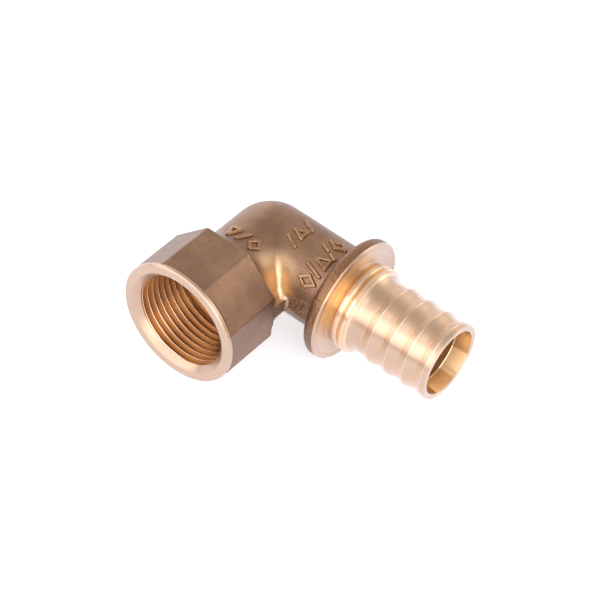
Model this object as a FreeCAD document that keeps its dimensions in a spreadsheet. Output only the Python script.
import FreeCAD, Part
import math
import os
import sys
import Sketcher

# Pipe elbow of hot-forged brass, one piece: an octagonal female socket at one end and a
# turned, ribbed spigot with a stop collar at the other. Lengths are in millimetres.
# The body's own zero is where the two pipe axes cross. The socket opens to -Y, the spigot
# points to +X, and the forging dies part in the plane Z = 0.

SIZES = {
    # tube of both legs, and the waterway drilled through it
    "tube_radius": 11.05,
    "ball_shift": 1.0,
    "throat_radius": 3.0,
    "throat_inset": 0.1,
    "waterway_radius": 8.0,
    "waterway_overrun": 2.0,
    "drill_half_angle": 59.0,
    # octagonal socket head
    "socket_reach": 34.2,
    "head_back": 17.0,
    "across_flats": 30.0,
    "corner_round": 1.0,
    "back_round": 0.5,
    "shoulder_radius": 14.4,
    "shoulder_run": 7.5,
    # lip round the socket's mouth
    "lip_radius": 16.0,
    "lip_thickness": 1.1,
    "lip_edge": 0.3,
    "lip_slope": 1.5,
    # socket bore, plain at the crests of its pipe thread
    "thread_radius": 12.06,
    "bore_depth": 17.2,
    "mouth_radius": 13.25,
    # web in the inner corner, trimmed square where the dies meet
    "web_face": 13.8,
    "web_top": 0.8,
    "web_thickness": 4.0,
    "web_fillet": 1.0,
    "web_flare": 3.2,
    "web_flare_radius": 5.0,
    # stop collar
    "collar_front": 25.6,
    "collar_thickness": 3.6,
    "collar_radius": 15.7,
    "collar_root": 1.2,
    "collar_slope": 1.8,
    "collar_knee": 0.5,
    "collar_edge": 0.3,
    "bevel_width": 1.4,
    "bevel_depth": 0.1,
    # turned neck with two rings and the flank down to the pipe seat
    "neck_radius": 10.7,
    "neck_length": 1.9,
    "ring_radius": 11.08,
    "first_ring_width": 1.5,
    "ring_groove_width": 0.35,
    "ring_groove_depth": 0.3,
    "second_ring_width": 1.1,
    "flank_run": 0.9,
    "flank_drop": 1.02,
    "flank_toe": 1.35,
    # pipe seat and its ribs
    "seat_radius": 9.45,
    "rib_radius": 10.0,
    "rib_crest": 1.25,
    "rib_rise": 1.3,
    "rib_fall": 1.1,
    "rib_pitch": 5.1,
    "rib_count": 3,
    "first_rib": 37.55,
    # end rib and mouth of the spigot
    "spigot_reach": 53.5,
    "end_crest": 1.0,
    "end_edge": 0.3,
    "lead_radius": 8.46,
    "lead_length": 4.1,
}


def make_sheet(doc):
    """Put every driving size into one sheet, each under its own name."""
    sheet = doc.addObject("Spreadsheet::Sheet", "Sizes")
    for row, (name, value) in enumerate(SIZES.items(), start=1):
        sheet.set(f"A{row}", name)
        sheet.set(f"B{row}", str(value))
        sheet.setAlias(f"B{row}", name)
    doc.recompute()
    return sheet


def over_sheet(text):
    """Spell a formula over bare size names as one over the sheet's cells."""
    spelled = ""
    word = ""
    for letter in text + " ":
        if letter.isalnum() or letter in "_.":
            word += letter
            continue
        spelled += ("Sizes." + word if word in SIZES else word) + letter
        word = ""
    return spelled.strip()


def value_of(feature, text):
    """Give the present value of a formula over the sizes."""
    value = feature.evalExpression(over_sheet(text))
    return float(getattr(value, "Value", value))


def bind(feature, prop, text):
    """Tie a property of a feature to a formula over the sizes."""
    feature.setExpression(prop, over_sheet(text))


def make_sketch(body, name, role, offset=None):
    """Add a sketch on one of the body's origin planes, moved along that plane's normal."""
    sketch = body.newObject("Sketcher::SketchObject", name)
    plane = next(p for p in body.Origin.OriginFeatures if p.Role == role)
    sketch.AttachmentSupport = (plane, [""])
    sketch.MapMode = "FlatFace"
    if offset is not None:
        bind(sketch, "AttachmentOffset.Base.z", offset)
    return sketch


def hold(sketch, constraint, text):
    """Add a sketch dimension and tie it to a formula over the sizes."""
    index = sketch.addConstraint(constraint)
    bind(sketch, f"Constraints[{index}]", text)


def arc_between(start, end, radius, side):
    """The short arc from start to end that bulges to the left (side 1) or right (-1)."""
    chord = end - start
    left = FreeCAD.Vector(-chord.y, chord.x, 0).normalize()
    rise = radius - math.sqrt(max(radius**2 - (chord.Length / 2) ** 2, 0))
    return Part.Arc(start, (start + end) * 0.5 + left * (side * rise), end)


def draw_outline(sketch, corners):
    """Draw a closed outline whose corners are pairs of formulas.

    A corner with a third entry (radius, side) starts an arc instead of a straight edge.
    """
    spots = [FreeCAD.Vector(value_of(sketch, c[0]), value_of(sketch, c[1]), 0) for c in corners]
    count = len(corners)
    ends = []
    for i, corner in enumerate(corners):
        start = spots[i]
        end = spots[(i + 1) % count]
        if len(corner) == 2:
            sketch.addGeometry(Part.LineSegment(start, end), False)
        else:
            radius, side = corner[2]
            sketch.addGeometry(arc_between(start, end, value_of(sketch, radius), side), False)
        flipped = (sketch.getPoint(i, 1) - start).Length > 1e-6
        ends.append((2, 1) if flipped else (1, 2))
    for i in range(count):
        after = (i + 1) % count
        sketch.addConstraint(Sketcher.Constraint("Coincident", i, ends[i][1], after, ends[after][0]))
    for i, corner in enumerate(corners):
        spot = spots[i]
        hold(sketch, Sketcher.Constraint("DistanceX", i, ends[i][0], spot.x), corner[0])
        hold(sketch, Sketcher.Constraint("DistanceY", i, ends[i][0], spot.y), corner[1])
        if len(corner) == 3:
            radius = corner[2][0]
            hold(sketch, Sketcher.Constraint("Radius", i, value_of(sketch, radius)), radius)


def turn(body, name, sketch, axis, kind="PartDesign::Revolution", angle=360.0):
    """Turn a sketch about one of its own axes, to add material or, as a groove, to cut it."""
    turned = body.newObject(kind, name)
    turned.Profile = sketch
    turned.ReferenceAxis = (sketch, [axis])
    turned.Angle = angle
    return turned


def edges_where(feature, test):
    """Names of the edges of a feature that pass a test."""
    return [f"Edge{i}" for i, edge in enumerate(feature.Shape.Edges, start=1) if test(edge)]


def round_edges(body, name, base, test, radius):
    """Round the edges of the feature before that pass a test."""
    fillet = body.newObject("PartDesign::Fillet", name)
    fillet.Base = (base, edges_where(base, test))
    bind(fillet, "Radius", radius)
    return fillet


def add_head(doc, body):
    """The forged octagon, with its corners and its back edge rounded."""
    sketch = make_sketch(body, "head_outline", "XZ_Plane", "head_back")
    corner = value_of(sketch, "across_flats / 2 / cos(22.5)")
    angles = [math.radians(22.5 + 45 * i) for i in range(8)]
    spots = [FreeCAD.Vector(corner * math.cos(a), corner * math.sin(a), 0) for a in angles]
    for i in range(8):
        sketch.addGeometry(Part.LineSegment(spots[i], spots[(i + 1) % 8]), False)
    circle = Part.Circle(FreeCAD.Vector(0, 0, 0), FreeCAD.Vector(0, 0, 1), corner)
    ring = sketch.addGeometry(circle, True)
    sketch.addConstraint(Sketcher.Constraint("Coincident", ring, 3, -1, 1))
    for i in range(8):
        sketch.addConstraint(Sketcher.Constraint("Coincident", i, 2, (i + 1) % 8, 1))
        sketch.addConstraint(Sketcher.Constraint("PointOnObject", i, 1, ring))
    for i in range(7):
        sketch.addConstraint(Sketcher.Constraint("Equal", i, i + 1))
    sketch.addConstraint(Sketcher.Constraint("Horizontal", 1))
    hold(sketch, Sketcher.Constraint("Radius", ring, corner), "across_flats / 2 / cos(22.5)")
    head = body.newObject("PartDesign::Pad", "head")
    head.Profile = sketch
    bind(head, "Length", "socket_reach - lip_thickness - head_back")
    doc.recompute()

    def runs_along(edge):
        a, b = [v.Point for v in edge.Vertexes]
        return abs(a.y - b.y) > abs(a.x - b.x) + abs(a.z - b.z)

    rounded = round_edges(body, "head_corners", head, runs_along, "corner_round")
    doc.recompute()
    back = max(v.Y for v in rounded.Shape.Vertexes)

    def at_back(edge):
        return all(abs(v.Y - back) < 1e-4 for v in edge.Vertexes)

    round_edges(body, "head_back_edge", rounded, at_back, "back_round")
    doc.recompute()


def add_lip(body):
    """The round lip at the socket's mouth, sloping down behind onto the flats."""
    sketch = make_sketch(body, "lip_profile", "XY_Plane")
    draw_outline(sketch, [
        ("0", "-socket_reach"),
        ("lip_radius - lip_edge", "-socket_reach"),
        ("lip_radius", "lip_edge - socket_reach"),
        ("lip_radius", "lip_thickness - socket_reach"),
        ("lip_radius - lip_slope", "lip_thickness + lip_slope - socket_reach"),
        ("0", "lip_thickness + lip_slope - socket_reach"),
    ])
    turn(body, "lip", sketch, "V_Axis")


def add_socket_leg(body):
    """Tube from the head to the elbow's outer ball, with the shoulder behind the head."""
    sketch = make_sketch(body, "socket_leg_profile", "XY_Plane")
    drop = "(shoulder_radius - tube_radius)"
    draw_outline(sketch, [
        ("0", "-head_back - back_round"),
        ("shoulder_radius", "-head_back - back_round"),
        ("shoulder_radius", "-head_back", (f"(shoulder_run^2 + {drop}^2) / (2 * {drop})", 1)),
        ("tube_radius", "shoulder_run - head_back"),
        ("tube_radius", "0", ("tube_radius", -1)),
        ("0", "tube_radius"),
    ])
    turn(body, "socket_leg", sketch, "V_Axis")


def add_throat(body):
    """Bend of the tube round the inner corner, which gives that corner its hollow.

    It is a little slimmer than the legs, so that its ends lie inside them.
    """
    sketch = make_sketch(body, "throat_profile", "XZ_Plane", "tube_radius + throat_radius")
    tube = value_of(sketch, "tube_radius - throat_inset")
    pivot = value_of(sketch, "tube_radius + throat_radius")
    flat = FreeCAD.Vector(0, 0, 1)
    circle = sketch.addGeometry(Part.Circle(FreeCAD.Vector(0, 0, 0), flat, tube), False)
    sketch.addConstraint(Sketcher.Constraint("Coincident", circle, 3, -1, 1))
    hold(sketch, Sketcher.Constraint("Radius", circle, tube), "tube_radius - throat_inset")
    foot = FreeCAD.Vector(pivot, 0, 0)
    axis = sketch.addGeometry(Part.LineSegment(foot, foot + FreeCAD.Vector(0, tube, 0)), True)
    sketch.addConstraint(Sketcher.Constraint("Vertical", axis))
    sketch.addConstraint(Sketcher.Constraint("PointOnObject", axis, 1, -1))
    hold(sketch, Sketcher.Constraint("DistanceX", axis, 1, pivot), "tube_radius + throat_radius")
    hold(sketch, Sketcher.Constraint("DistanceY", axis, 2, tube), "tube_radius - throat_inset")
    turned = turn(body, "throat", sketch, "Axis0", angle=90.0)
    turned.Reversed = True
    return turned


def add_web(body):
    """Web in the inner corner, with the upright faces that trimming leaves."""
    sketch = make_sketch(body, "web_outline", "XY_Plane", "web_top - web_thickness")
    draw_outline(sketch, [
        ("0", "0"),
        ("0", "-head_back - back_round"),
        ("across_flats / 2", "-head_back - back_round", ("web_flare_radius", -1)),
        ("web_face", "web_flare - head_back"),
        ("web_face", "-tube_radius - web_fillet", ("web_fillet", 1)),
        ("web_face + web_fillet", "-tube_radius"),
        ("web_face + web_fillet", "0"),
    ])
    web = body.newObject("PartDesign::Pad", "web")
    web.Profile = sketch
    bind(web, "Length", "web_thickness")


def add_spigot_leg(body):
    """Tube with a ball end at the crossing, and the stop collar, its back edge eased in two slopes.

    Its ball sits a little off the other leg's, so that the two skins cross and don't just touch.
    """
    sketch = make_sketch(body, "spigot_leg_profile", "XY_Plane")
    back = "collar_front - collar_thickness"
    draw_outline(sketch, [
        ("ball_shift - tube_radius", "0", ("tube_radius", 1)),
        ("ball_shift", "tube_radius"),
        (back + " - collar_root", "tube_radius"),
        (back, "tube_radius + collar_root"),
        (back, "collar_radius - collar_slope"),
        (back + " + collar_knee", "collar_radius - collar_knee"),
        (back + " + collar_slope", "collar_radius"),
        ("collar_front - bevel_depth - collar_edge", "collar_radius"),
        ("collar_front - bevel_depth", "collar_radius - collar_edge"),
        ("collar_front", "collar_radius - collar_edge - bevel_width"),
        ("collar_front", "0"),
    ])
    turn(body, "spigot_leg", sketch, "H_Axis")


def add_neck(body):
    """Turned neck: two rings with a groove between them, and the flank down to the seat."""
    sketch = make_sketch(body, "neck_profile", "XY_Plane")
    neck_end = "collar_front + neck_length"
    groove = neck_end + " + first_ring_width"
    second = groove + " + ring_groove_width"
    flank = second + " + second_ring_width"
    draw_outline(sketch, [
        ("collar_front - collar_thickness / 2", "0"),
        ("collar_front - collar_thickness / 2", "neck_radius"),
        (neck_end, "neck_radius"),
        (neck_end, "ring_radius"),
        (groove, "ring_radius"),
        (groove, "ring_radius - ring_groove_depth"),
        (second, "ring_radius - ring_groove_depth"),
        (second, "ring_radius"),
        (flank, "ring_radius"),
        (flank + " + flank_run", "ring_radius - flank_drop"),
        (flank + " + flank_run + flank_toe", "seat_radius"),
        ("spigot_reach - end_edge - end_crest / 2", "seat_radius"),
        ("spigot_reach - end_edge - end_crest / 2", "0"),
    ])
    turn(body, "neck", sketch, "H_Axis")


def add_ribs(doc, body):
    """Ribs that grip the pipe, one drawn and the rest repeated along the spigot."""
    sketch = make_sketch(body, "rib_profile", "XY_Plane")
    root = "(seat_radius + waterway_radius) / 2"
    draw_outline(sketch, [
        ("first_rib - rib_crest / 2 - rib_rise", root),
        ("first_rib - rib_crest / 2 - rib_rise", "seat_radius"),
        ("first_rib - rib_crest / 2", "rib_radius"),
        ("first_rib + rib_crest / 2", "rib_radius"),
        ("first_rib + rib_crest / 2 + rib_fall", "seat_radius"),
        ("first_rib + rib_crest / 2 + rib_fall", root),
    ])
    rib = turn(body, "rib", sketch, "H_Axis")
    doc.recompute()
    row = body.newObject("PartDesign::LinearPattern", "rib_row")
    row.Originals = [rib]
    row.Direction = (sketch, ["H_Axis"])
    bind(row, "Occurrences", "rib_count")
    bind(row, "Length", "rib_pitch * (rib_count - 1)")
    body.Tip = row
    doc.recompute()


def add_end_rib(body):
    """Last rib, which is also the rim of the spigot's mouth, with its outer edge broken."""
    sketch = make_sketch(body, "end_rib_profile", "XY_Plane")
    root = "(seat_radius + waterway_radius) / 2"
    crest = "spigot_reach - end_edge - end_crest"
    draw_outline(sketch, [
        (crest + " - rib_rise", root),
        (crest + " - rib_rise", "seat_radius"),
        (crest, "rib_radius"),
        ("spigot_reach - end_edge", "rib_radius"),
        ("spigot_reach", "rib_radius - end_edge"),
        ("spigot_reach", root),
    ])
    turn(body, "end_rib", sketch, "H_Axis")


def cut_spigot_bore(body):
    """Waterway drilled from the spigot's mouth, with its tapered lead-in."""
    sketch = make_sketch(body, "spigot_bore_profile", "XY_Plane")
    draw_outline(sketch, [
        ("-waterway_overrun - waterway_radius / tan(drill_half_angle)", "0"),
        ("-waterway_overrun", "waterway_radius"),
        ("spigot_reach - lead_length", "waterway_radius"),
        ("spigot_reach", "lead_radius"),
        ("spigot_reach", "0"),
    ])
    turn(body, "spigot_bore", sketch, "H_Axis", "PartDesign::Groove")


def cut_socket_bore(body):
    """Socket bored for its thread, then the waterway drilled on past the crossing."""
    sketch = make_sketch(body, "socket_bore_profile", "XY_Plane")
    bottom = "bore_depth - socket_reach"
    draw_outline(sketch, [
        ("0", "-socket_reach"),
        ("mouth_radius", "-socket_reach"),
        ("thread_radius", "mouth_radius - thread_radius - socket_reach"),
        ("thread_radius", bottom),
        ("waterway_radius", bottom + " + (thread_radius - waterway_radius) / tan(drill_half_angle)"),
        ("waterway_radius", "waterway_overrun"),
        ("0", "waterway_overrun + waterway_radius / tan(drill_half_angle)"),
    ])
    turn(body, "socket_bore", sketch, "V_Axis", "PartDesign::Groove")


def cut_and_compare(doc, body, cut, *arguments):
    """Make a cut and stop unless it has taken material away."""
    before = body.Shape.Volume
    cut(*arguments)
    doc.recompute()
    if body.Shape.Volume > before - 1:
        sys.exit(f"{cut.__name__} removed nothing")


def set_down(body):
    """Place the elbow so that zero is under the middle of its box, at its lowest point."""
    left = "max(lip_radius; across_flats / 2)"
    low = "max(lip_radius; collar_radius)"
    bind(body, "Placement.Base.x", f"({left} - spigot_reach) / 2")
    bind(body, "Placement.Base.y", "(socket_reach - collar_radius) / 2")
    bind(body, "Placement.Base.z", low)


def build(doc):
    """Make the elbow body from its sheet of sizes."""
    body = doc.addObject("PartDesign::Body", "elbow_body")
    body.Label = "elbow_body"
    doc.recompute()
    add_head(doc, body)
    add_lip(body)
    add_socket_leg(body)
    doc.recompute()
    add_throat(body)
    doc.recompute()
    add_spigot_leg(body)
    add_web(body)
    add_neck(body)
    doc.recompute()
    add_ribs(doc, body)
    add_end_rib(body)
    doc.recompute()
    cut_and_compare(doc, body, cut_spigot_bore, body)
    cut_and_compare(doc, body, cut_socket_bore, body)
    set_down(body)
    doc.recompute()
    return body


def check(doc, body):
    """Stop with a message unless every object is sound and the body is one solid."""
    for item in doc.Objects:
        if "Invalid" in item.State or "Error" in item.State:
            sys.exit(f"{item.Name} failed: {item.State}")
    shape = body.Shape
    if shape.isNull() or not shape.isValid() or len(shape.Solids) != 1:
        sys.exit(f"{body.Label} is not one sound solid")


document = FreeCAD.newDocument("pipe_elbow")
make_sheet(document)
elbow = build(document)
check(document, elbow)
os.makedirs("parts", exist_ok=True)
elbow.Shape.exportStep(f"parts/{elbow.Label}.step")
box = elbow.Shape.optimalBoundingBox(False)
print(f"{elbow.Label}: {elbow.Shape.Volume:.1f} mm3, {len(elbow.Shape.Faces)} faces")
print(f"box x {box.XMin:.2f}..{box.XMax:.2f} y {box.YMin:.2f}..{box.YMax:.2f} z {box.ZMin:.2f}..{box.ZMax:.2f}")
